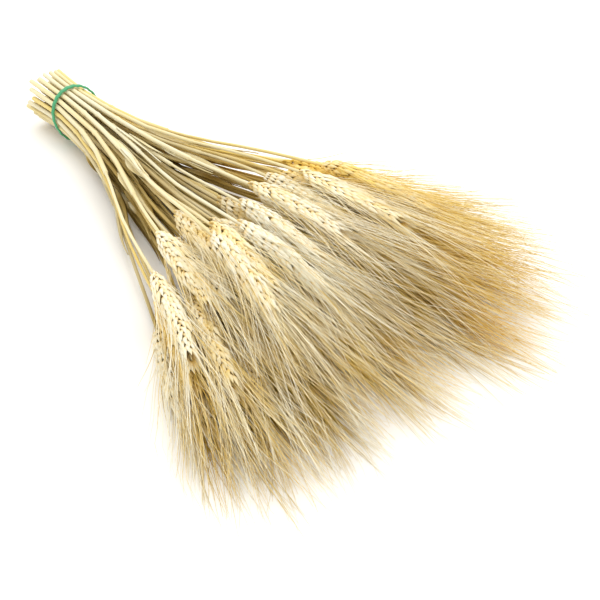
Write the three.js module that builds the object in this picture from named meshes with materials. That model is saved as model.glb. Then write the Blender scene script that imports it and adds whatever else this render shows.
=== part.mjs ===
// A bundle of dried triticale lying on a flat surface.
// Cut stalks, each with its ear and its brush of awns, are held by one thin green band near the cut ends.
// Millimetres, +Z up. The stalks run along Y: cut ends at +Y, ear tips at -Y.
import * as THREE from "three";

// ---- Driving dimensions ----

// Stalks stand in rings inside the band: one in the middle, then ring after ring around it.
const STALKS_PER_RING = [1, 6, 12, 18, 22];
const STEM_PITCH = 4.6;
const RING_TURN = 0.07; // each ring is turned from the one inside it by this share of a full turn
const STEM_RADIUS = 2.1;
const NECK_RADIUS = 1.5; // where the bare stem meets the ear
const STEM_TAPER = [[70, 0.25], [125, 0.45]]; // distance from the band, share of the taper done there
const LAST_TAPER = [0.45, 0.7]; // share of the way from there to the ear, share of the taper done there
const NECK_LENGTH = 24;

// Ears and awns.
const EAR_LENGTH = 104;
const EAR_RADIUS = 6.4;
const EAR_SWELL = 16; // the ear is at its full thickness this far past its base
const EAR_SHOULDER = 0.6; // and keeps it to this share of its length
const EAR_TIP_RADIUS = 4.4;
const AWN_REACH = 72; // how far the awns go past the tip of the ear
const AWN_BRUSH_RADIUS = 4.8;
const AWN_SHOULDER = 0.35; // the brush keeps that radius to this share of its length
const AWN_END_RADIUS = 1.2;
const FIRST_EAR = 206; // distance from the band to the nearest ear base
const LAST_EAR = 306; // and to the farthest one
const MIDDLING_REACH = 0.5; // where between those two a stalk in the middle of the bundle tends to end
const LEAST_CHOICE = 20; // a stalk's nearest and farthest possible ends are at least this far apart
const UPPER_SHORTER = 0.3; // the upper stalks tend to end nearer the band
const LEFT_LONGER = 0.05; // and those on the left farther from it
const REACH_SPREAD = 0.42;
const RIGHT_SHORTENING = 0.27; // the outermost stalks on the right reach this share less far

// Cut ends behind the band.
const SHORTEST_CUT = 36;
const LONGEST_CUT = 50;

// The band.
const BAND_THICKNESS = 3.0;
const BAND_CLEARANCE = 0.5; // between the band and the outermost stems
const BAND_LEAN = THREE.MathUtils.degToRad(17); // its top leans towards the cut ends
const BAND_SECTION_SIDES = 8;
const BAND_STEPS = 44;

// The fan: how the bundle opens from the band to the ears.
const FAN_SLOPE = 0.44; // outward mm for each mm along, on the outermost stalks
const FAN_START = 85; // the stems begin to part about here
const FAN_ROUNDING = 70; // and this length rounds the bend
const FAN_EVENNESS = 0.9; // below 1 moves stalks from the middle of the fan towards its sides
const FREE_FROM = 20; // the stalks wander and sag between these two distances
const FREE_TO = 260;
const HEAP_HEIGHT = 58; // between the lowest and the highest centre line
const HEAP_CREST = 265; // distance from the band to the highest place
const HEAP_REACH = 330; // from the crest, the heap falls to nothing over this length
const HEAP_SHOULDERS = 3; // across the bundle: 2 is an ellipse, and more is squarer
const HEAP_FULLNESS = 0.45;
const SAG = 4; // the lowest ears are pressed onto the ground
const RIGHT_LIFT = 21; // the stiff stalks on the right stand off the ground
const UPPER_STEMS = [-0.3, 0.5]; // from here up, as shares of the half height, stems count as upper ones
const PARTING_AT = 0.12; // the upper stems part here, as a share of the half width
const PARTING = 15; // and stand aside by as much
const PARTING_ALONG = 165; // most of all at this distance from the band
const PARTING_REACH = 85;
const TIE_ZONE = 26; // stems stay packed this near the band
const CUT_END_FLARE = 0.0035; // growth of the pack for each millimetre behind the band

// Natural unevenness.
const SIDE_WANDER = 12;
const HEIGHT_WANDER = 5;
const SWAY = 3.5;
const SWAY_LENGTH = 60;

// Settling.
const TIGHT_GAP = 0.3; // clearance between neighbours next to the band
const GAP = 1.5; // and in the open fan
const OPEN_FROM = 160; // distance from the band where it is open
const STATION_STEP = 10;
const SWEEPS = 400;
const FIRST_SMOOTHING = 0.4;
const LAST_SMOOTHING = 0.02;
const PULL = 0.06; // how strongly a stalk keeps to its own line, as a share of the smoothing
const FIRST_THICKNESS = 0.4; // the stalks start this thin and thicken while they settle
const THICKENING = 0.6; // share of the sweeps over which they would grow from nothing

const STALK_SIDES = 6;

const PACK_RADIUS = (STALKS_PER_RING.length - 1) * STEM_PITCH;
const BAND_RADIUS = PACK_RADIUS + STEM_RADIUS + BAND_CLEARANCE + BAND_THICKNESS / 2;
const TIE_HEIGHT = BAND_RADIUS + BAND_THICKNESS / 2;

const { lerp, clamp, smoothstep, seededRandom } = THREE.MathUtils;
seededRandom(64);
const spreadBy = (amount) => amount * (2 * seededRandom() - 1);

// Stations are the distances from the band at which every stalk's place is worked out.
const STATIONS = [];
for (let along = -60; along <= 560; along += STATION_STEP) STATIONS.push(along);

// ---- One stalk's own measures ----

function ringsOf(cut, earBase) {
  const earTip = earBase + EAR_LENGTH;
  return [
    [-cut, STEM_RADIUS],
    [-TIE_ZONE / 2, STEM_RADIUS],
    [TIE_ZONE / 2, STEM_RADIUS],
    ...STEM_TAPER.map(([along, share]) => [along, lerp(STEM_RADIUS, NECK_RADIUS, share)]),
    [lerp(STEM_TAPER[1][0], earBase, LAST_TAPER[0]), lerp(STEM_RADIUS, NECK_RADIUS, LAST_TAPER[1])],
    [earBase - NECK_LENGTH, NECK_RADIUS],
    [earBase, NECK_RADIUS],
    [earBase + EAR_SWELL, EAR_RADIUS],
    [earBase + EAR_SHOULDER * EAR_LENGTH, EAR_RADIUS],
    [earTip, EAR_TIP_RADIUS],
    [earTip + AWN_SHOULDER * AWN_REACH, AWN_BRUSH_RADIUS],
    [earTip + AWN_REACH, AWN_END_RADIUS],
  ];
}

// Radius at a distance from the band, straight between the rings. Zero where the stalk has ended.
function radiusAt(rings, along) {
  for (let i = 1; i < rings.length; i++) {
    const [from, radiusFrom] = rings[i - 1];
    const [to, radiusTo] = rings[i];
    if (along >= from && along <= to) return lerp(radiusFrom, radiusTo, (along - from) / (to - from));
  }
  return 0;
}

// ---- Where a stalk would lie if it had the heap to itself ----

// A straight line along the band that bends, rounded, into a slope.
function fanAt(along) {
  const past = along - FAN_START;
  const rounded = Math.hypot(past, FAN_ROUNDING) - Math.hypot(FAN_START, FAN_ROUNDING);
  return FAN_SLOPE * 0.5 * Math.max(0, along + rounded);
}

function freePath({ across, up, side, lift, phase }) {
  const dome = Math.pow(Math.max(0, 1 - Math.abs(across) ** HEAP_SHOULDERS), HEAP_FULLNESS);
  const upper = smoothstep(up, ...UPPER_STEMS);
  const aside = Math.sign(across - PARTING_AT) * PARTING * upper;
  const raised = lift + RIGHT_LIFT * Math.max(0, across);
  const fanned = Math.sign(across) * Math.abs(across) ** FAN_EVENNESS;
  return STATIONS.map((along) => {
    const free = smoothstep(along, FREE_FROM, FREE_TO);
    const packed = PACK_RADIUS * (1 + CUT_END_FLARE * Math.max(0, -along - TIE_ZONE / 2));
    const sway = SWAY * free * Math.sin(phase + along / SWAY_LENGTH);
    const parting = aside * Math.exp(-(((along - PARTING_ALONG) / PARTING_REACH) ** 2)) * free;
    const x = across * packed + fanned * fanAt(along) + side * free + sway + parting;
    const fall = (along - HEAP_CREST) / HEAP_REACH;
    const heap = HEAP_HEIGHT * Math.max(0, 1 - fall * fall);
    const inHeap = EAR_RADIUS - SAG + ((up + dome) / 2) * heap + raised * free;
    return new THREE.Vector2(x, lerp(TIE_HEIGHT + up * packed, inHeap, free));
  });
}

function makeStalks() {
  const stalks = [];
  STALKS_PER_RING.forEach((count, ring) => {
    for (let i = 0; i < count; i++) {
      const angle = (i / count + RING_TURN * ring) * 2 * Math.PI;
      const across = (ring * STEM_PITCH * Math.cos(angle)) / PACK_RADIUS;
      const up = (ring * STEM_PITCH * Math.sin(angle)) / PACK_RADIUS;
      const leftward = Math.max(0, -across);
      const rightward = Math.max(0, across);
      const tendency = MIDDLING_REACH - UPPER_SHORTER * up + LEFT_LONGER * leftward;
      const reach = clamp(tendency + spreadBy(REACH_SPREAD), 0, 1);
      const farthest = LAST_EAR * (1 - RIGHT_SHORTENING * rightward * rightward);
      const earBase = lerp(Math.min(FIRST_EAR, farthest - LEAST_CHOICE), farthest, reach);
      const rings = ringsOf(lerp(SHORTEST_CUT, LONGEST_CUT, seededRandom()), earBase);
      const side = spreadBy(SIDE_WANDER);
      const lift = spreadBy(HEIGHT_WANDER);
      const aim = freePath({ across, up, side, lift, phase: spreadBy(Math.PI) });
      const radii = STATIONS.map((along) => radiusAt(rings, along));
      stalks.push({ rings, radii, aim, path: aim.map((point) => point.clone()) });
    }
  });
  return stalks;
}

// ---- Settling: stalks thicken, push each other apart, rest on the ground and stay smooth ----

function separate(stalks, k, grown) {
  const gap = lerp(TIGHT_GAP, GAP, smoothstep(STATIONS[k], TIE_ZONE, OPEN_FROM));
  for (let i = 0; i < stalks.length; i++) {
    for (let j = i + 1; j < stalks.length; j++) {
      const a = stalks[i];
      const b = stalks[j];
      if (a.radii[k] === 0 || b.radii[k] === 0) continue;
      const apart = b.path[k].clone().sub(a.path[k]);
      const short = grown * (a.radii[k] + b.radii[k] + gap) - apart.length();
      if (short <= 0) continue;
      apart.setLength(0.5 * short);
      a.path[k].sub(apart);
      b.path[k].add(apart);
    }
  }
  for (const stalk of stalks) {
    stalk.path[k].y = Math.max(stalk.path[k].y, stalk.radii[k]);
  }
}

function settle(stalks) {
  const firstFree = STATIONS.findIndex((along) => along > TIE_ZONE);
  for (let sweep = 0; sweep < SWEEPS; sweep++) {
    const smoothing = lerp(FIRST_SMOOTHING, LAST_SMOOTHING, sweep / SWEEPS);
    const grown = Math.min(1, FIRST_THICKNESS + sweep / (THICKENING * SWEEPS));
    for (const { path, aim } of stalks) {
      for (let k = firstFree; k < path.length - 1; k++) {
        const middle = path[k - 1].clone().add(path[k + 1]).multiplyScalar(0.5);
        path[k].lerp(middle, smoothing);
        path[k].lerp(aim[k], PULL * smoothing);
      }
    }
    for (let k = firstFree; k < STATIONS.length; k++) separate(stalks, k, grown);
  }
}

// ---- Meshes ----

function centreAt(path, along) {
  const place = (along - STATIONS[0]) / STATION_STEP;
  const k = clamp(Math.floor(place), 0, STATIONS.length - 2);
  return path[k].clone().lerp(path[k + 1], place - k);
}

// A straight lathe-turned stalk, then every ring of it is moved sideways onto the stalk's own path.
function stalkGeometry({ rings, path }) {
  const profile = rings.map(([along, radius]) => new THREE.Vector2(radius, -along));
  const cutFace = new THREE.Vector2(0, profile[0].y);
  const tipFace = new THREE.Vector2(0, profile.at(-1).y);
  const geometry = new THREE.LatheGeometry([tipFace, ...profile.reverse(), cutFace], STALK_SIDES);
  const position = geometry.getAttribute("position");
  for (let i = 0; i < position.count; i++) {
    const centre = centreAt(path, -position.getY(i));
    position.setX(i, position.getX(i) + centre.x);
    position.setZ(i, position.getZ(i) + centre.y);
  }
  geometry.computeVertexNormals();
  return geometry;
}

// Straw is paler on one stalk and more golden on the next.
function strawMaterial() {
  const color = new THREE.Color(0xe9dcb8).lerp(new THREE.Color(0xd6ab68), seededRandom());
  return new THREE.MeshStandardMaterial({ color, roughness: 0.75, metalness: 0 });
}

// A round ring, sheared so that its top leans back and its outline seen along the stems stays a circle.
function bandMesh() {
  const geometry = new THREE.TorusGeometry(
    BAND_RADIUS, BAND_THICKNESS / 2, BAND_SECTION_SIDES, BAND_STEPS);
  geometry.rotateX(Math.PI / 2);
  const lean = new THREE.Matrix4().makeShear(0, 0, 0, 0, 0, Math.tan(BAND_LEAN));
  geometry.applyMatrix4(lean);
  geometry.translate(0, 0, TIE_HEIGHT);
  const material = new THREE.MeshStandardMaterial({ color: 0x459a60, roughness: 0.5, metalness: 0 });
  const mesh = new THREE.Mesh(geometry, material);
  mesh.name = "tie_band";
  return mesh;
}

const bundle = new THREE.Group();
const stalks = makeStalks();
settle(stalks);
stalks.forEach((stalk, i) => {
  const mesh = new THREE.Mesh(stalkGeometry(stalk), strawMaterial());
  mesh.name = "stalk_" + String(i + 1).padStart(2, "0");
  bundle.add(mesh);
});
bundle.add(bandMesh());

// The origin is the middle of the underside.
const size = new THREE.Box3().setFromObject(bundle);
const middle = size.getCenter(new THREE.Vector3());
bundle.position.set(-middle.x, -middle.y, -size.min.z);

export default bundle;
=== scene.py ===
# %% [markdown]
# # A bundle of dried triticale
#
# Triticale is a cereal, a cross of wheat and rye. Its ears carry long stiff hairs called awns.
# Here a few dozen dried stalks lie on their side, held by one green band near the cut ends.
#
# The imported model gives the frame: one plain solid per stalk, and the band. This script keeps every
# place and size from it, and builds the real shape of each stalk around the plain one.

# %% Load the frame
import itertools
import math
import random

import bmesh
import bpy
import numpy as np
from mathutils import Matrix, Vector


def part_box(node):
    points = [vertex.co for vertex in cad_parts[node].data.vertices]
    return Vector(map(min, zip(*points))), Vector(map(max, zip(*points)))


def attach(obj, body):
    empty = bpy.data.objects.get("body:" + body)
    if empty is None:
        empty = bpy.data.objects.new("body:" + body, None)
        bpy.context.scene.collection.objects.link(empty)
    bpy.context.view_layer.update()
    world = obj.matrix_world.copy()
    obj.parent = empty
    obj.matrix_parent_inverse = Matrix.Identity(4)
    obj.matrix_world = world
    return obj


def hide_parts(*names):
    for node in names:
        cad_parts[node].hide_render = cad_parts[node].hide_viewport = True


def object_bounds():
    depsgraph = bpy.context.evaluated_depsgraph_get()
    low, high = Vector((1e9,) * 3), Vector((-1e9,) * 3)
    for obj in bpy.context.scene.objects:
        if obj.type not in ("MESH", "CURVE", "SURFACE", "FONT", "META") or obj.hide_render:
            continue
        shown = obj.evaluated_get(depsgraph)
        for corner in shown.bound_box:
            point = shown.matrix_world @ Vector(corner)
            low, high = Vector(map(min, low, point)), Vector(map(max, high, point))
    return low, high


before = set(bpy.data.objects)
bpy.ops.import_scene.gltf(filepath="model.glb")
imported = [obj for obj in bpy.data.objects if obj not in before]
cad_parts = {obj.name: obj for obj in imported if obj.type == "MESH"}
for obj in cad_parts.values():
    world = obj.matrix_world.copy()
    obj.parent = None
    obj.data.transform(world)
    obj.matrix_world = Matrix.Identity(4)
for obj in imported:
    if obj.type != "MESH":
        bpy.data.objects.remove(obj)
cad_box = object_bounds()
MM = 0.001
stalk_names = sorted(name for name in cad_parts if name.startswith("stalk_"))
print("stalks:", len(stalk_names), "box in mm:", [round(1000 * v) for corner in cad_box for v in corner])

# %% [markdown]
# ## The view
#
# The bundle is seen from above its left side, with the cut ends far away at the upper left. A long lens
# keeps the near ears from growing out of proportion. The camera aims at a point on the surface, given
# as a distance from the band, so it follows the frame.

# %% Camera
VIEW_ANGLE = math.radians(25)
CAMERA_TURN = math.radians(-38.5)
CAMERA_RISE = math.radians(35.2)
CAMERA_DISTANCE = 0.962
AIM_FROM_BAND = (-0.0018, -0.3052)
NEAREST_SEEN = 10 * MM

band_low, band_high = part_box("tie_band")
band_centre = (Vector(band_low) + Vector(band_high)) / 2
aim = Vector((band_centre.x + AIM_FROM_BAND[0], band_centre.y + AIM_FROM_BAND[1], 0))
back = Vector((
    math.sin(CAMERA_TURN) * math.cos(CAMERA_RISE),
    -math.cos(CAMERA_TURN) * math.cos(CAMERA_RISE),
    math.sin(CAMERA_RISE),
))
camera = bpy.data.objects.new("camera", bpy.data.cameras.new("camera"))
camera.data.angle = VIEW_ANGLE
camera.data.clip_start = NEAREST_SEEN
camera.location = aim + CAMERA_DISTANCE * back
camera.rotation_euler = back.to_track_quat("Z", "Y").to_euler()
bpy.context.scene.collection.objects.link(camera)
bpy.context.scene.camera = camera
print("camera at", [round(v, 3) for v in camera.location])

# %% [markdown]
# ## Nodes as expressions
#
# A finish is a small network of shader nodes. Wiring it line by line is long, so two helpers are made
# first. `Value` wraps a socket, and sums written with it add Math nodes. `Finish` makes a material, and
# its `node` method adds any other node: its settings go on first, then its sockets.

# %% Shader helpers
class Value:
    """A number that varies over a surface. Sums with it add Math nodes."""

    def __init__(self, finish, socket):
        self.finish = finish
        self.socket = socket

    def math(self, operation, *others, swapped=False, clamp=False):
        terms = [self.socket] + [getattr(other, "socket", other) for other in others]
        if swapped:
            terms.reverse()
        node = self.finish.node("ShaderNodeMath", {"operation": operation, "use_clamp": clamp},
                                dict(enumerate(terms)))
        return Value(self.finish, node.outputs[0])

    def __add__(self, other):
        return self.math("ADD", other)

    def __sub__(self, other):
        return self.math("SUBTRACT", other)

    def __rsub__(self, other):
        return self.math("SUBTRACT", other, swapped=True)

    def __mul__(self, other):
        return self.math("MULTIPLY", other)

    __radd__ = __add__
    __rmul__ = __mul__

    def clamped(self):
        return self.math("ADD", 0.0, clamp=True)


class Finish:
    """A material under construction."""

    def __init__(self, name):
        self.material = bpy.data.materials.new(name)
        self.material.use_nodes = True
        self.tree = self.material.node_tree
        self.shader = self.tree.nodes["Principled BSDF"]

    def node(self, kind, settings=None, sockets=None):
        made = self.tree.nodes.new(kind)
        for key, setting in (settings or {}).items():
            setattr(made, key, setting)
        for key, wanted in (sockets or {}).items():
            wanted = getattr(wanted, "socket", wanted)
            if isinstance(wanted, bpy.types.NodeSocket):
                self.tree.links.new(wanted, made.inputs[key])
            else:
                made.inputs[key].default_value = wanted
        return made

    def attribute(self, name):
        return Value(self, self.node("ShaderNodeAttribute", {"attribute_name": name}).outputs["Fac"])

    def noise(self, place, scale, detail=2.0):
        made = self.node("ShaderNodeTexNoise", {}, {"Vector": place, "Scale": scale, "Detail": detail})
        return Value(self, made.outputs["Fac"])

    def mix(self, share, first, second, blend="MIX"):
        """Colours: first where share is 0, second where it is 1."""
        made = self.node("ShaderNodeMix", {"data_type": "RGBA", "blend_type": blend},
                         {"Factor": share, 6: first, 7: second})
        return made.outputs[2]

    def set(self, **sockets):
        for key, wanted in sockets.items():
            wanted = getattr(wanted, "socket", wanted)
            target = self.shader.inputs[key.replace("_", " ")]
            if isinstance(wanted, bpy.types.NodeSocket):
                self.tree.links.new(wanted, target)
            else:
                target.default_value = wanted

# %% [markdown]
# ## Where each stalk runs
#
# A stalk's plain solid is a stack of six-sided rings, each in a plane across the bundle. The middles of
# the rings are the stalk's centre line, from the cut end to the last awn. Reading them back keeps the
# detailed stalk exactly on the plain one. A smooth curve through the middles is then measured along
# its length, so a straight model can be bent onto it without stretching.

# %% Read the centre lines
EAR_BASE_RING = 7
EAR_TIP_RING = 10
STEP = 4 * MM


def ring_middles(name):
    """Middles of the rings of a stalk's solid, from the cut end to the tip."""
    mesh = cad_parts[name].data
    points = np.empty(3 * len(mesh.vertices), dtype=np.float32)
    mesh.vertices.foreach_get("co", points)
    points = np.unique(points.reshape(-1, 3).round(6), axis=0)
    rings = {}
    for point in points:
        rings.setdefault(round(float(point[1]), 4), []).append(point)
    return np.array([np.mean(rings[y], axis=0) for y in sorted(rings, reverse=True)])


class CentreLine:
    """A smooth line through the ring middles, measured along its length."""

    def __init__(self, middles):
        points = []
        for i in range(len(middles) - 1):
            span = np.linalg.norm(middles[i + 1] - middles[i])
            slope_a = self.slope(middles, i) * span
            slope_b = self.slope(middles, i + 1) * span
            for t in np.linspace(0, 1, max(2, int(span / STEP)), endpoint=False):
                points.append(
                    (2 * t**3 - 3 * t**2 + 1) * middles[i] + (t**3 - 2 * t**2 + t) * slope_a
                    + (3 * t**2 - 2 * t**3) * middles[i + 1] + (t**3 - t**2) * slope_b)
        points.append(middles[-1])
        self.points = np.array(points)
        pieces = np.linalg.norm(np.diff(self.points, axis=0), axis=1)
        self.lengths = np.concatenate([[0], np.cumsum(pieces)])
        self.tangents = np.gradient(self.points, self.lengths, axis=0)

    @staticmethod
    def slope(middles, i):
        before, after = middles[max(0, i - 1)], middles[min(len(middles) - 1, i + 1)]
        return (after - before) / np.linalg.norm(after - before)

    def length_at(self, y):
        return float(np.interp(-y, -self.points[:, 1], self.lengths))

    def bend(self, points):
        """Moves points of a straight model, built along +Y from the cut end, onto the line."""
        along = points[:, 1]
        inside = np.clip(along, 0, self.lengths[-1])
        centre = np.stack([np.interp(inside, self.lengths, self.points[:, i]) for i in range(3)], 1)
        tangent = np.stack([np.interp(inside, self.lengths, self.tangents[:, i]) for i in range(3)], 1)
        tangent /= np.linalg.norm(tangent, axis=1, keepdims=True)
        side = np.cross(tangent, [0, 0, 1])
        side /= np.linalg.norm(side, axis=1, keepdims=True)
        rise = np.cross(side, tangent)
        beyond = (along - inside)[:, None]
        return centre + beyond * tangent + points[:, :1] * side + points[:, 2:] * rise


lines = {}
for name in stalk_names:
    middles = ring_middles(name)
    line = CentreLine(middles)
    line.ear_base = line.length_at(middles[EAR_BASE_RING][1])
    line.ear_tip = line.length_at(middles[EAR_TIP_RING][1])
    lines[name] = line
print("stalk lengths to the ear tip, mm:",
      round(1000 * min(line.ear_tip for line in lines.values())), "to",
      round(1000 * max(line.ear_tip for line in lines.values())))

# %% [markdown]
# ## How much straw lies on top
#
# Places deep in the bundle are painted browner and darker. This is painted shade, in place of the shadow
# and the golden bounced light between the straws; only a little of it is the browner inner straw that the
# sun never bleached. The space around the bundle is divided into small cells, and each centre line adds its
# straw to the cells it crosses: more for an ear than for a stem. Adding the cells up from the top tells how
# deep any place lies.

# %% Cover, for the painted shade
CELL = 5 * MM
MARGIN = 6  # cells around the bundle
STEM_STRAW, EAR_STRAW, AWN_STRAW = 1.0, 3.0, 2.0
DEEP = 1.6  # with this much straw above it, a place counts as deep
cell_corner = np.array(cad_box[0]) - MARGIN * CELL
cell_count = np.ceil((np.array(cad_box[1]) - cell_corner) / CELL).astype(int) + MARGIN
straw_in_cell = np.zeros(cell_count)
for line in lines.values():
    past_stem = np.where(line.lengths < line.ear_tip, EAR_STRAW, AWN_STRAW)
    amount = np.where(line.lengths < line.ear_base, STEM_STRAW, past_stem)
    np.add.at(straw_in_cell, tuple(((line.points - cell_corner) / CELL).astype(int).T), amount)
# A straw is wider than a point: its amount is spread to the cells beside it, most along X and Y.
for axis in (0, 1, 2, 0, 1):
    beside = np.roll(straw_in_cell, 1, axis) + np.roll(straw_in_cell, -1, axis)
    straw_in_cell = 0.5 * straw_in_cell + 0.25 * beside
straw_above = straw_in_cell[:, :, ::-1].cumsum(axis=2)[:, :, ::-1] - straw_in_cell


def painted_shade_at(points):
    """Strength of the painted shade: from 0 for a place with nothing above it towards 1 deep in the bundle.
    """
    place = np.clip((points - cell_corner) / CELL - 0.5, 0, cell_count - 2)
    low = place.astype(int)
    share = place - low
    above = np.zeros(len(points))
    for step in itertools.product((0, 1), repeat=3):
        weight = np.where(step, share, 1 - share).prod(axis=1)
        above += weight * straw_above[tuple((low + step).T)]
    return 1 - np.exp(-above / DEEP)


print("cells:", straw_in_cell.shape, "most straw above a cell:", round(float(straw_above.max()), 1))

# %% [markdown]
# ## A husk
#
# Every grain sits in papery husks shaped like the hull of a boat: narrow at the foot, widest below the
# middle, drawn out to a point, with a keel along the back. A sphere with few faces is squeezed into
# that hull. It is repeated thousands of times, so it has only a few dozen faces.

# %% Husk and its unrolled map
ON_AXIS = 1e-6  # closer to the axis than this share of its length, a point has no direction of its own
HUSK_FULLNESS = 1.5
HUSK_TAPER = 0.75
KEEL = 1.25  # the keel side is this much deeper than a sphere
HOLLOW = 0.55  # and the inner side this much flatter
ARCH = 0.3  # the whole husk arches out by this share of its depth


def unroll(mesh, name="fit"):
    """Lays a shape that was built along +Y flat: around it on one side, its length on the other."""
    bm = bmesh.new()
    bm.from_mesh(mesh)
    layer = bm.loops.layers.uv.new(name)
    low = min(v.co.y for v in bm.verts)
    high = max(v.co.y for v in bm.verts)
    for face in bm.faces:
        middle = face.calc_center_median()
        turn = math.atan2(middle.x, middle.z) / (2 * math.pi) + 0.5
        for loop in face.loops:
            co = loop.vert.co
            around = turn
            if math.hypot(co.x, co.z) > ON_AXIS * (high - low):
                around = math.atan2(co.x, co.z) / (2 * math.pi) + 0.5
                around += round(turn - around)
            loop[layer].uv = (around, (co.y - low) / (high - low))
    bm.to_mesh(mesh)
    bm.free()
    return mesh


def husk_mesh():
    """A husk of length 1 and width 1, keel on +X, along +Y."""
    bm = bmesh.new()
    bmesh.ops.create_uvsphere(bm, u_segments=8, v_segments=6, radius=0.5)
    bmesh.ops.rotate(bm, cent=(0, 0, 0), matrix=Matrix.Rotation(math.radians(-90), 3, "X"), verts=bm.verts)
    for v in bm.verts:
        t = v.co.y + 0.5
        fullness = HUSK_FULLNESS * (1 - t) ** HUSK_TAPER * min(1, 0.5 + 1.6 * t)
        v.co.x *= fullness
        v.co.z *= fullness
        if v.co.x > 0:
            v.co.x *= KEEL - 0.5 * abs(v.co.z)
        else:
            v.co.x *= HOLLOW
        v.co.x += ARCH * math.sin(math.pi * t) ** 2 - 0.1 * t
        v.co.y = t
    bmesh.ops.recalc_face_normals(bm, faces=bm.faces)
    mesh = bpy.data.meshes.new("husk")
    bm.to_mesh(mesh)
    bm.free()
    return unroll(mesh)


husk = husk_mesh()
print("husk faces:", len(husk.polygons))

# %% [markdown]
# ## An awn
#
# An awn is a stiff hair that grows from the tip of a husk. It tapers to a fine tip and bends a little. A
# three-sided cone with a few cuts is enough at this thickness. Several are made, from nearly straight to
# bent, and each is turned at random when it is placed.

# %% Awns
AWN_LENGTH = 84 * MM
AWN_RADIUS = 0.3 * MM
AWN_TIP = 0.25  # the tip's thickness, as a share of the foot's
AWN_CUTS = 4
AWN_BENDS = [-0.03, 0.02, 0.05, 0.08, 0.13]


def awn_mesh(bend):
    """An awn along +Y, bent towards +X by this share of its length."""
    bm = bmesh.new()
    bmesh.ops.create_cone(bm, cap_ends=True, segments=3, radius1=AWN_RADIUS,
                          radius2=AWN_TIP * AWN_RADIUS, depth=AWN_LENGTH)
    upright = [e for e in bm.edges if abs(e.verts[0].co.z - e.verts[1].co.z) > 0.5 * AWN_LENGTH]
    bmesh.ops.subdivide_edges(bm, edges=upright, cuts=AWN_CUTS)
    bmesh.ops.rotate(bm, cent=(0, 0, 0), matrix=Matrix.Rotation(math.radians(-90), 3, "X"), verts=bm.verts)
    bmesh.ops.translate(bm, vec=(0, AWN_LENGTH / 2, 0), verts=bm.verts)
    bmesh.ops.recalc_face_normals(bm, faces=bm.faces)
    mesh = bpy.data.meshes.new("awn")
    bm.to_mesh(mesh)
    bm.free()
    unroll(mesh)
    for v in mesh.vertices:
        v.co.x += bend * AWN_LENGTH * (v.co.y / AWN_LENGTH) ** 2
    return mesh


awns = [awn_mesh(bend) for bend in AWN_BENDS]
print("awn faces:", len(awns[0].polygons))

# %% [markdown]
# ## A spikelet, and the ear that they make
#
# An ear is two rows of spikelets on a thin zigzag stem. A spikelet is a small fan: two short glumes
# outside, then two pairs of lemmas that each hold a grain and carry an awn. They are laid out here as
# a list of placed shapes. Each shape is a template and a matrix, so the same husk and the same few
# awns serve the whole bundle.

# %% Spikelets and ears
SPIKELETS = 28
UPPER_BARE = 0.05  # this share of the upper lemmas carry no awn
LOW_AWN = 0.6  # the lowest awns are shorter by this factor
CROSSING = 1.8 * MM  # each spikelet's foot reaches this far across the middle of the ear
FIRST_FOOT = 1 * MM
TOP_ROOM = 16 * MM  # the last spikelet's foot is this much short of the ear's length
SPIKELET_SIZES = (0.94, 1.05)
LEAN, LEAN_LOST, LEAN_SPREAD = 19, 7, 3  # degrees, at the base, from base to tip, and at random
SPIKELET_TURN = 9  # degrees, at random, as are the next two
HUSK_SWAY = 4
AWN_SWAY = 5
KEEL_TURN = -2.2  # a husk's keel turns this many times its fan angle
AWN_REACH = (0.78, 1.12)  # an awn's length, as a share of the template's
AWN_INWARD = (0.15, 0.7)  # an awn leans out less than its spikelet, by this share of its lean
# kind, length mm, width mm, depth mm, foot: out, along and sideways mm, fan degrees
HUSKS = [
    ("glume", 12.5, 3.6, 3.4, 0.6, 0.0, 2.7, 11),
    ("glume", 12.5, 3.6, 3.4, 0.6, 0.0, -2.7, -11),
    ("lemma", 17.0, 4.0, 3.8, 1.9, 1.2, 1.9, 9),
    ("lemma", 17.0, 4.0, 3.8, 1.9, 1.2, -1.9, -9),
    ("lemma", 15.5, 3.6, 3.6, 2.8, 3.4, 0.8, 3),
    ("lemma", 15.5, 3.6, 3.6, 2.8, 3.4, -0.8, -3),
]


def turned(degrees, axis):
    return Matrix.Rotation(math.radians(degrees), 4, axis)


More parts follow.
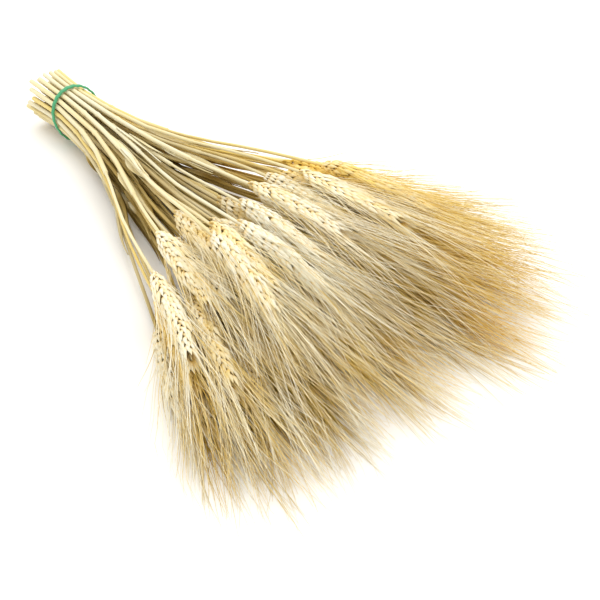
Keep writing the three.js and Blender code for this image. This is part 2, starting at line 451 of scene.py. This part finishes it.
def ear_shapes(rng, base, length):
    """Placed husks and awns of one ear that starts at base and runs along +Y."""
    husks, hairs = [], []
    for k in range(SPIKELETS):
        t = k / (SPIKELETS - 1)
        side = 1 if k % 2 else -1
        size = (0.9 + 0.9 * t * (1 - t)) * min(1, 0.7 + 3 * t) * rng.uniform(*SPIKELET_SIZES)
        lean = LEAN - LEAN_LOST * t + rng.uniform(-LEAN_SPREAD, LEAN_SPREAD)
        foot = base + FIRST_FOOT + (length - TOP_ROOM) * t
        last = k == SPIKELETS - 1
        place = Matrix.Translation((0 if last else -side * CROSSING, foot, 0))
        if last:
            place = place @ turned(90, "Y")
            lean = 0
        elif side < 0:
            place = place @ turned(180, "Y")
        place = place @ turned(-lean, "Z") @ turned(rng.uniform(-SPIKELET_TURN, SPIKELET_TURN), "Y")
        for kind, long, wide, deep, out, along, sideways, fan in HUSKS:
            foot_place = Matrix.Translation(Vector((out, along, sideways)) * size * MM)
            tilt = turned(fan + rng.uniform(-HUSK_SWAY, HUSK_SWAY), "X")
            tilt = tilt @ turned(rng.uniform(-HUSK_SWAY, HUSK_SWAY), "Z")
            scale = Matrix.Diagonal((deep * size * MM, long * size * MM, wide * size * MM, 1))
            keel = turned(KEEL_TURN * fan, "Y")
            whole = place @ foot_place @ tilt @ keel @ scale
            husks.append((whole, rng.random(), kind))
            if kind == "glume" or (along > 2 and rng.random() < UPPER_BARE):
                continue
            tip = whole @ Vector((-0.1, 0.97, 0))
            reach = rng.uniform(*AWN_REACH) * min(1, LOW_AWN + 1.2 * t)
            inward = turned(rng.uniform(*AWN_INWARD) * lean, "Z")
            hair = place @ inward @ turned(fan + rng.uniform(-AWN_SWAY, AWN_SWAY), "X")
            hair = hair @ turned(rng.uniform(-HUSK_SWAY, HUSK_SWAY), "Z")
            hair.translation = tip
            hair = hair @ turned(rng.uniform(0, 360), "Y") @ Matrix.Diagonal((1, reach, 1, 1))
            hairs.append((hair, rng.random(), rng.choice(awns)))
    return husks, hairs


print("husks in an ear:", SPIKELETS * len(HUSKS))

# %% [markdown]
# ## A stem
#
# A straw is a tube with a swollen node, wrapped in a dry leaf sheath that ends in a collar. Past the
# collar the bare stem is thinner, and it runs on inside the ear. A profile of the radius is spun
# round the stem's axis, which is how a wood turner would make it. The cut end is left hollow.

# %% Stems
STEM_SIDES = 10
SHEATH_RADIUS = (1.6, 2.0)  # mm, least and most, as are the next three
BARE_RADIUS = (1.1, 1.35)
NODE_PLACE = (70, 150)
SHEATH_PAST_NODE = (60, 110)
BARE_BELOW_EAR = 35 * MM
BARE_STEPS = 5


def turn_profile(profile, sides):
    """Spins a profile of (radius, place along Y) round the Y axis."""
    bm = bmesh.new()
    points = [bm.verts.new((radius, along, 0)) for radius, along in profile]
    edges = [bm.edges.new(pair) for pair in zip(points, points[1:])]
    bmesh.ops.spin(bm, geom=points + edges, cent=(0, 0, 0), axis=(0, 1, 0), angle=2 * math.pi,
                   steps=sides, use_merge=True)
    bmesh.ops.remove_doubles(bm, verts=bm.verts, dist=1e-6)
    bmesh.ops.recalc_face_normals(bm, faces=bm.faces)
    return bm


def stem_profile(rng, line):
    """Radius along a stalk, from the hollow cut end to the tip of the ear's own stem."""
    thick = rng.uniform(*SHEATH_RADIUS) * MM
    thin = rng.uniform(*BARE_RADIUS) * MM
    node = rng.uniform(*NODE_PLACE) * MM
    collar = node + rng.uniform(*SHEATH_PAST_NODE) * MM
    collar = min(collar, line.ear_base - BARE_BELOW_EAR)
    profile = [
        (0, 9 * MM), (0.62 * thick, 8 * MM), (0.62 * thick, 0.2 * MM), (0.72 * thick, 0), (0.97 * thick, 0),
        (thick, 0.5 * MM), (thick, 25 * MM), (1.03 * thick, 45 * MM), (0.98 * thick, node - 4 * MM),
        (1.05 * thick, node - 1.6 * MM), (1.24 * thick, node), (1.18 * thick, node + 1.6 * MM),
        (thick, node + 4.5 * MM), (1.02 * thick, (node + collar) / 2), (0.96 * thick, collar - 3 * MM),
        (1.02 * thick, collar - 0.8 * MM), (0.95 * thick, collar), (thin * 1.05, collar + 0.6 * MM),
        (thin, collar + 8 * MM),
    ]
    start = collar + 20 * MM
    for i in range(BARE_STEPS):
        profile.append((thin, start + (line.ear_base - start) * i / BARE_STEPS))
    profile += [(thin, line.ear_base - 1 * MM), (0.9 * thin, line.ear_base + 6 * MM),
                (0.5 * thin, line.ear_tip - 12 * MM), (0, line.ear_tip - 8 * MM)]
    return profile


print("stem thickness with its sheath, mm:", 2 * SHEATH_RADIUS[0], "to", 2 * SHEATH_RADIUS[1])

# %% [markdown]
# ## A dry leaf
#
# Where a leaf left its sheath, a dry blade still lies along the straw. It is a long strip, folded a
# little along the middle, curled and twisted. A grid is tapered into the strip and given a thickness,
# and only then curled, so that its map stays straight. Most blades lie flat, and the lowest stalks
# keep more of them.

# %% Leaves
LOW_PLACE = 0.3  # stalks that run below this share of the bundle's height have more leaves
LOW_LEAVES = 3
OTHER_LEAVES = [0, 1, 1, 2]
LEAF_LENGTH = (50, 120)  # mm, least and most, as is the width
LEAF_WIDTH = (3.6, 6.8)
LEAF_THICKNESS = 0.25 * MM
LEAF_FOLD = 0.12
LEAF_OUT = 1.9 * MM  # a blade starts this far from the middle of its stem
LEAF_AWAY = (0.0, 0.07)
LEAF_TWIST = (-1.2, 1.2)


def leaf_count(rng, line):
    low = line.points[len(line.points) // 3][2] < LOW_PLACE * cad_box[1][2]
    return LOW_LEAVES if low else rng.choice(OTHER_LEAVES)


def leaf_mesh(rng):
    """A dry blade along +Y that starts on the stem and bends away from it, towards +X."""
    length = rng.uniform(*LEAF_LENGTH) * MM
    width = rng.uniform(*LEAF_WIDTH) * MM
    bm = bmesh.new()
    bmesh.ops.create_grid(bm, x_segments=4, y_segments=12, size=0.5)
    for v in bm.verts:
        t = v.co.y + 0.5
        taper = min(1, 0.35 + 3 * t) * (1 - t ** 1.5) + 0.03
        v.co = Vector((LEAF_FOLD * width * (1 - 4 * v.co.x ** 2), t * length, v.co.x * width * taper))
    bmesh.ops.solidify(bm, geom=bm.faces[:], thickness=LEAF_THICKNESS)
    bmesh.ops.recalc_face_normals(bm, faces=bm.faces)
    mesh = bpy.data.meshes.new("leaf")
    bm.to_mesh(mesh)
    bm.free()
    unroll(mesh)
    away = rng.uniform(*LEAF_AWAY)
    twist = rng.uniform(*LEAF_TWIST)
    for v in mesh.vertices:
        t = v.co.y / length
        co = Matrix.Rotation(twist * t * t, 3, "Y") @ v.co
        v.co = co + Vector((LEAF_OUT + away * length * t, 0, 0.3 * width * math.sin(5 * t + twist)))
    return mesh


print("leaf length, mm:", LEAF_LENGTH[0], "to", LEAF_LENGTH[1])

# %% [markdown]
# ## A straight stalk
#
# The stem, its leaves, the husks and the awns of a stalk first become one straight mesh along +Y,
# because straight shapes are easy to place. Some ears show their broad side and some their narrow one,
# so each is turned about its stem. What each shape is, and a random shade for it, are kept for the
# finish.

# %% A straight stalk
STEM, HUSK, AWN = 0.0, 0.5, 1.0
ROLL_SPREAD = 24  # degrees that an ear is turned about its stem
EDGEWAYS = 0.4  # this share of the ears is turned a quarter more
LEAF_PLACE = (75, 185)  # mm from the cut end
LEAF_TILT = 40  # degrees


def add(bm, shape, matrix):
    """Adds a placed copy of a template mesh."""
    copy = shape.copy()
    copy.transform(matrix)
    bm.from_mesh(copy)
    bpy.data.meshes.remove(copy)


def stem_mesh(rng, line):
    profile = stem_profile(rng, line)
    bm = turn_profile(profile, STEM_SIDES)
    bmesh.ops.rotate(bm, cent=(0, 0, 0), matrix=Matrix.Rotation(rng.uniform(0, 6), 3, "Y"), verts=bm.verts)
    mesh = bpy.data.meshes.new("stem")
    bm.to_mesh(mesh)
    bm.free()
    return unroll(mesh)


def grow(rng, name, line):
    """A stalk along +Y: its mesh, and the template, kind and shade of each shape in it, in order."""
    husks, hairs = ear_shapes(rng, line.ear_base, line.ear_tip - line.ear_base)
    stem = stem_mesh(rng, line)
    leaves = [leaf_mesh(rng) for _ in range(leaf_count(rng, line))]
    roll = turned(rng.gauss(0, ROLL_SPREAD) + (90 if rng.random() < EDGEWAYS else 0), "Y")
    bm = bmesh.new()
    add(bm, stem, Matrix.Identity(4))
    for leaf in leaves:
        flat = turned(rng.choice([-90, 90]) + rng.uniform(-LEAF_TILT, LEAF_TILT), "Y")
        add(bm, leaf, flat @ Matrix.Translation((0, rng.uniform(*LEAF_PLACE) * MM, 0)))
    for matrix, _, _ in husks:
        add(bm, husk, roll @ matrix)
    for matrix, _, hair in hairs:
        add(bm, hair, roll @ matrix)
    mesh = bpy.data.meshes.new(name + "_grown")
    bm.to_mesh(mesh)
    bm.free()
    shapes = [stem] + leaves + [husk] * len(husks) + [hair for _, _, hair in hairs]
    kinds = [STEM] * (1 + len(leaves)) + [HUSK] * len(husks) + [AWN] * len(hairs)
    shades = [rng.random() for _ in range(1 + len(leaves))]
    shades += [shade for _, shade, _ in husks + hairs]
    return mesh, shapes, kinds, shades


print("turned edgeways:", round(100 * EDGEWAYS), "% of the ears")

# %% [markdown]
# ## A flat map
#
# To be saved as a picture, a finish needs a flat map on which no two shapes share a place. So each shape
# gets its own patch: the stem is cut into a few strips side by side, each leaf and each husk has a cell
# of a grid, and each awn has a narrow strip.

# %% The flat map of a stalk
STEM_CELL = (0.66, 0.01, 0.33, 0.34)  # corner, width and height
STEM_STRIPS = 4
LEAF_PATCH = ((0.66, 0.36), (0.99, 0.49))  # low and high corner, as are the next two
HUSK_PATCH = ((0, 0), (0.64, 1))
AWN_PATCH = ((0.66, 0.5), (0.99, 1))
LEAF_COLUMNS = 3
HUSK_COLUMNS = 10
AWN_ROWS = 2


def map_cells(count, columns, low, high):
    """Corners and sizes of a grid of map cells between two corners of the unit square."""
    rows = max(1, math.ceil(count / columns))
    wide, tall = (high[0] - low[0]) / columns, (high[1] - low[1]) / rows
    corners = [(low[0] + wide * (i % columns), low[1] + tall * (i // columns)) for i in range(count)]
    return [(x + 0.06 * wide, y + 0.04 * tall, 0.88 * wide, 0.92 * tall) for x, y in corners]


def lay_map(mesh, shapes, kinds, line):
    """Gives each shape its own patch, and returns how far along its shape each face corner is."""
    flat = np.empty(2 * len(mesh.loops), dtype=np.float32)
    mesh.uv_layers["fit"].data.foreach_get("uv", flat)
    flat = flat.reshape(-1, 2)
    hairs = kinds.count(AWN)
    cells = [STEM_CELL] + map_cells(kinds.count(STEM) - 1, LEAF_COLUMNS, *LEAF_PATCH)
    cells += map_cells(kinds.count(HUSK), HUSK_COLUMNS, *HUSK_PATCH)
    cells += map_cells(hairs, math.ceil(hairs / AWN_ROWS), *AWN_PATCH)
    corners_in = [len(shape.loops) for shape in shapes]
    cells = np.repeat(np.array(cells, dtype=np.float32), corners_in, axis=0)
    bake = cells[:, :2] + flat * cells[:, 2:]
    # The stem's long strip is folded into a few shorter ones, side by side.
    count = corners_in[0]
    faces = mesh.polygons[:len(shapes[0].polygons)]
    strip = [np.floor(STEM_STRIPS * min(0.999, face.center.y / line.ear_tip)) for face in faces]
    strip = np.repeat(strip, [face.loop_total for face in faces])
    within = STEM_STRIPS * flat[:count, 1] - strip
    bake[:count, 0] = cells[0, 0] + cells[0, 2] * (strip + 0.06 + 0.88 * flat[:count, 0]) / STEM_STRIPS
    bake[:count, 1] = cells[0, 1] + cells[0, 3] * (0.1 + 0.8 * within)
    layer = mesh.uv_layers.new(name="OFBake")
    layer.data.foreach_set("uv", bake.ravel())
    return flat[:, 1]


print("map cells for the husks:", len(map_cells(SPIKELETS * len(HUSKS), HUSK_COLUMNS, *HUSK_PATCH)))

# %% [markdown]
# ## All the stalks
#
# Each straight stalk is bent onto its centre line. What would lie under the surface rests on it, and
# the outermost and highest awns are pressed in a little. A few numbers are stored on the points for the
# finish: what the point is part of, its own random shade of colour, how far along its part it is, how warm
# the whole stalk's colour is, and how much straw covers it, which sets the painted shade. Most stalks are
# pale, and those towards +X are warmer.

# %% Build the stalks
SEED = 1000
REST = 0.25 * MM
PRESS = 0.55
RING_STEPS = 1000
WARMTH, WARM_FEW = 0.75, 1.7
WARMER_RIGHT = 0.55
RIGHT_SIDE = 140 * MM
# Past these corners, the stalks are pressed in.
press_low = np.array(cad_box[0]) + (2 * MM, -4 * MM, 0)
press_high = np.array(cad_box[1]) + (-2 * MM, 0, -6 * MM)


def lay_down(mesh, line, ring, rest):
    """Points of a stalk bent onto its line, pressed in past the box and lifted onto the surface."""
    points = np.empty(3 * len(mesh.vertices))
    mesh.vertices.foreach_get("co", points)
    bent = line.bend(points.reshape(-1, 3))
    bent -= PRESS * np.maximum(0, bent - press_high)
    bent[:, :2] += PRESS * np.maximum(0, press_low - bent)[:, :2]
    # A ring of points that would lie under the surface is lifted as a whole, so it keeps its shape.
    ring = np.unique(ring, return_inverse=True)[1]
    lowest = np.full(ring.max() + 1, np.inf)
    np.minimum.at(lowest, ring, bent[:, 2])
    bent[:, 2] += np.maximum(0, rest - lowest)[ring]
    return bent


def make_stalk(name, line, number):
    rng = random.Random(SEED + number)
    mesh, shapes, kinds, shades = grow(rng, name, line)
    along = lay_map(mesh, shapes, kinds, line)
    corner_point = np.empty(len(mesh.loops), dtype=np.int32)
    mesh.loops.foreach_get("vertex_index", corner_point)
    how_far = np.zeros(len(mesh.vertices), dtype=np.float32)
    how_far[corner_point] = along
    points_in = [len(shape.vertices) for shape in shapes]
    ring = np.repeat(np.arange(len(shapes)), points_in) * RING_STEPS + np.round((RING_STEPS - 1) * how_far)
    bent = lay_down(mesh, line, ring, REST * (1 + rng.random()))
    rightward = min(1, max(0, line.points[-1][0] / RIGHT_SIDE))
    warmth = WARMTH * rng.random() ** WARM_FEW + WARMER_RIGHT * rightward
    numbers = {
        "part": np.repeat(kinds, points_in),
        "shade": np.repeat(shades, points_in),
        "how_far": how_far,
        "warmth": np.full(len(mesh.vertices), warmth),
        # painted shade: how much straw lies above each point
        "painted_shade": painted_shade_at(bent),
    }
    for key, values in numbers.items():
        made = mesh.attributes.new(key, "FLOAT", "POINT")
        made.data.foreach_set("value", np.asarray(values, dtype=np.float32))
    mesh.vertices.foreach_set("co", bent.ravel())
    sides = [len(shape.polygons) for shape in shapes]
    mesh.polygons.foreach_set("use_smooth", np.repeat(np.array(kinds) != AWN, sides))
    mesh.update()
    for shape in shapes[:kinds.count(STEM)]:
        bpy.data.meshes.remove(shape)
    stalk = bpy.data.objects.new(name + "_grown", mesh)
    bpy.context.scene.collection.objects.link(stalk)
    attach(stalk, "root")
    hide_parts(name)
    return stalk


stalks = [make_stalk(name, line, i) for i, (name, line) in enumerate(lines.items())]
print("stalks:", len(stalks), "faces:", sum(len(stalk.data.polygons) for stalk in stalks))

# %% [markdown]
# ## Dry straw
#
# Dry straw is nearly white where the sun bleached it. Each husk is painted amber towards its foot: partly
# the husk's own colour, partly painted shade for the golden notches between the husks. Deep in the bundle
# the straw is painted golden brown, mostly as painted shade and a little as browner inner straw, and the
# stems there are painted near black as painted shade. Both are weaker near the band. One finish serves all
# stalks. The stored numbers choose between paler and warmer straw, noise stretched along the length draws
# the fibres, and the same noise gives the roughness and a fine relief. The awns are too thin for a relief
# and stay smooth.

# %% Straw finish
IVORY = (0.85, 0.82, 0.69, 1)
GOLD = (0.85, 0.64, 0.16, 1)
PEACH = (0.88, 0.69, 0.42, 1)
AMBER = (0.88, 0.58, 0.13, 1)
OLIVE = (0.62, 0.57, 0.29, 1)
BROWN = (0.52, 0.36, 0.05, 1)
# near black for the painted shade between the stems deep in the bundle
PAINTED_SHADE_DARK = (0.10, 0.06, 0.025, 1)
FIBRE_STRETCH = (4.5, 1.2, 1.0)
FIBRE_SCALE = 3.0
PATCH_SCALE = 40.0
BLUSH_SCALE = 11.0
SHADE_SHIFT, WARMTH_SHIFT = 37.0, 53.0  # these move each shape to its own place in the fibres
FIBRE_HEIGHT = 0.15 * MM


def straw_finish():
    straw = Finish("dried_straw")
    part = straw.attribute("part")
    shade = straw.attribute("shade")
    how_far = straw.attribute("how_far")
    warmth = straw.attribute("warmth")
    painted_shade = straw.attribute("painted_shade")
    is_stem = (1.0 - part * 2.0).clamped()
    is_awn = (part * 2.0 - 1.0).clamped()
    is_husk = 1.0 - is_stem - is_awn
    fit = straw.node("ShaderNodeUVMap", {"uv_map": "fit"}).outputs[0]
    shift = straw.node("ShaderNodeCombineXYZ", {}, {
        0: shade * SHADE_SHIFT, 1: warmth * WARMTH_SHIFT}).outputs[0]
    fibre_place = straw.node("ShaderNodeVectorMath", {"operation": "MULTIPLY_ADD"},
                             {0: fit, 1: FIBRE_STRETCH, 2: shift}).outputs[0]
    fibres = straw.noise(fibre_place, FIBRE_SCALE)
    place = straw.node("ShaderNodeTexCoord").outputs["Object"]
    patches = straw.noise(place, PATCH_SCALE)
    golden = warmth + (shade - 0.5) * 0.45 + (patches - 0.5) * 0.7
    golden = (golden - is_husk * 0.1 - is_awn * 0.08).clamped()
    base = straw.mix(golden, IVORY, GOLD)
    base = straw.mix(is_stem * (0.05 + fibres * 0.4), base, OLIVE)
    blush = (straw.noise(place, BLUSH_SCALE, 1.0) * 3.0 - 1.6).clamped()
    base = straw.mix(blush * (1.0 - is_stem) * 0.35, base, PEACH)
    # Amber at each husk's foot: partly the husk's own colour, partly painted shade for the golden notches
    # between husks.
    foot = (1.25 - how_far * 2.3).clamped() * is_husk
    base = straw.mix(foot * 0.85, base, AMBER)
    golden_awn = (shade * 2.5 - 1.5).clamped() * is_awn
    base = straw.mix(golden_awn * 0.55, base, AMBER)
    brown_awn = (shade * 6.0 - 4.9).clamped() * is_awn
    base = straw.mix(brown_awn * 0.6, base, BROWN)
    base = straw.mix((fibres * 2.4 - 1.2).clamped() * 0.4, base, GOLD)
    # Painted shade: deep in the bundle the straw is painted golden brown and the stems near black, less so
    # near the band.
    near_band = (1.8 - how_far * 5.0).clamped() * is_stem
    inside = painted_shade * (1.0 - near_band * 0.7)
    deep = straw.mix(warmth, BROWN, AMBER)
    base = straw.mix((inside * 1.4).clamped() * (0.9 - is_husk * 0.45), base, deep)
    base = straw.mix(inside * inside * is_stem * 0.9, base, PAINTED_SHADE_DARK)
    straw.set(Base_Color=base, Roughness=0.42 + fibres * 0.3, Specular_IOR_Level=0.15)
    relief = straw.node("ShaderNodeBump", {}, {
        "Strength": 0.3, "Distance": FIBRE_HEIGHT, "Height": fibres * (1.0 - is_awn)})
    straw.set(Normal=relief.outputs[0])
    return straw.material


straw = straw_finish()
for stalk in stalks:
    stalk.data.materials.append(straw)

# %% [markdown]
# ## The green band
#
# A plain elastic band holds the stems. Its section is a flat strip with rounded edges, and where it
# crosses a gap between two stems it dips a little. A short section is spun into a ring, leaned back
# like the plain one, and pressed into shallow waves.

# %% Band
PLAIN_BAND = 3.0 * MM
BAND_WIDTH = 3.4 * MM
BAND_DEPTH = 1.8 * MM
BAND_WAVES = 22
BAND_WAVE = 0.18 * MM
BAND_SWAY = 0.25 * MM
BAND_STEPS = 176
BAND_EDGE = 0.7  # below 1, the section's corners fill out towards a square's
BAND_INSET = 0.95  # the hole starts at this share of the plain band's thickness
DARK_GREEN = (0.04, 0.28, 0.12, 1)
LIGHT_GREEN = (0.075, 0.41, 0.19, 1)


def make_band():
    inner = (band_high[0] - band_low[0]) / 2 - BAND_INSET * PLAIN_BAND
    middle = inner + BAND_DEPTH / 2
    lean = (band_high[1] - band_low[1] - PLAIN_BAND) / (band_high[2] - band_low[2] - PLAIN_BAND)
    bm = bmesh.new()
    bmesh.ops.create_circle(bm, segments=16, radius=0.5)
    for v in bm.verts:
        corner = Vector((v.co.x, v.co.y, 0)).normalized()
        v.co.x = 0.5 * BAND_DEPTH * math.copysign(abs(corner.x) ** BAND_EDGE, corner.x) + middle
        v.co.y = 0.5 * BAND_WIDTH * math.copysign(abs(corner.y) ** BAND_EDGE, corner.y)
    bmesh.ops.spin(bm, geom=bm.verts[:] + bm.edges[:], cent=(0, 0, 0), axis=(0, 1, 0),
                   angle=2 * math.pi, steps=BAND_STEPS, use_merge=True)
    bmesh.ops.remove_doubles(bm, verts=bm.verts, dist=1e-6)
    bmesh.ops.recalc_face_normals(bm, faces=bm.faces)
    for v in bm.verts:
        turn = math.atan2(v.co.z, v.co.x)
        reach = math.hypot(v.co.x, v.co.z)
        press = 1 + BAND_WAVE * math.cos(BAND_WAVES * turn) / reach
        v.co.x *= press
        v.co.z *= press
        v.co.y += lean * v.co.z + BAND_SWAY * math.sin(3 * turn)
    bmesh.ops.translate(bm, vec=band_centre, verts=bm.verts)
    mesh = bpy.data.meshes.new("band")
    bm.to_mesh(mesh)
    bm.free()
    mesh.shade_smooth()
    band = bpy.data.objects.new("green_band", mesh)
    bpy.context.scene.collection.objects.link(band)
    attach(band, "root")
    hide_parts("tie_band")
    return band


def band_finish():
    rubber = Finish("green_band")
    place = rubber.node("ShaderNodeTexCoord").outputs["Object"]
    cloud = rubber.noise(place, 260.0, 3.0)
    dust = rubber.noise(place, 900.0, 2.0)
    base = rubber.mix(cloud, DARK_GREEN, LIGHT_GREEN)
    rubber.set(Base_Color=base, Roughness=0.38 + dust * 0.25, Specular_IOR_Level=0.5)
    relief = rubber.node("ShaderNodeBump", {}, {"Strength": 0.2, "Distance": 0.05 * MM, "Height": dust})
    rubber.set(Normal=relief.outputs[0])
    return rubber.material


band = make_band()
band.data.materials.append(band_finish())
print("band faces:", len(band.data.polygons))

# %% [markdown]
# ## Surface and light
#
# A white surface and a bright white room give the soft, nearly shadowless light of a product table.
# One large lamp behind and to the right makes the tops of the ears glow and leaves a pale, soft shadow
# on the near left side.

# %% Surface and lamps
SURFACE_SIZE = 6.0
WHITE = (0.93, 0.93, 0.93, 1)
ROOM_COLOUR = (1.0, 0.985, 0.945, 1)
ROOM_STRENGTH = 1.08
LAMP_PLACE = (0.45, 0.45, 1.7)
LAMP_SIZE = 3.0
LAMP_WATTS = 25
LAMP_COLOUR = (1.0, 0.99, 0.96)


def make_floor():
    bm = bmesh.new()
    bmesh.ops.create_grid(bm, x_segments=1, y_segments=1, size=SURFACE_SIZE)
    mesh = bpy.data.meshes.new("surface")
    bm.to_mesh(mesh)
    bm.free()
    surface = bpy.data.objects.new("surface", mesh)
    bpy.context.scene.collection.objects.link(surface)
    finish = Finish("white_surface")
    finish.set(Base_Color=WHITE, Roughness=0.9, Specular_IOR_Level=0.1)
    mesh.materials.append(finish.material)


def light_room():
    world = bpy.data.worlds.new("room")
    world.use_nodes = True
    room = world.node_tree.nodes["Background"]
    room.inputs["Color"].default_value = ROOM_COLOUR
    room.inputs["Strength"].default_value = ROOM_STRENGTH
    bpy.context.scene.world = world


def add_lamp():
    lamp = bpy.data.lights.new("key", "AREA")
    lamp.shape = "DISK"
    lamp.size = LAMP_SIZE
    lamp.energy = LAMP_WATTS
    lamp.color = LAMP_COLOUR
    holder = bpy.data.objects.new("key", lamp)
    holder.location = LAMP_PLACE
    holder.rotation_euler = (Vector(LAMP_PLACE) - aim).to_track_quat("Z", "Y").to_euler()
    bpy.context.scene.collection.objects.link(holder)


make_floor()
light_room()
add_lamp()
bpy.context.scene.view_settings.view_transform = "Standard"
print("room strength:", ROOM_STRENGTH, "lamp watts:", LAMP_WATTS)
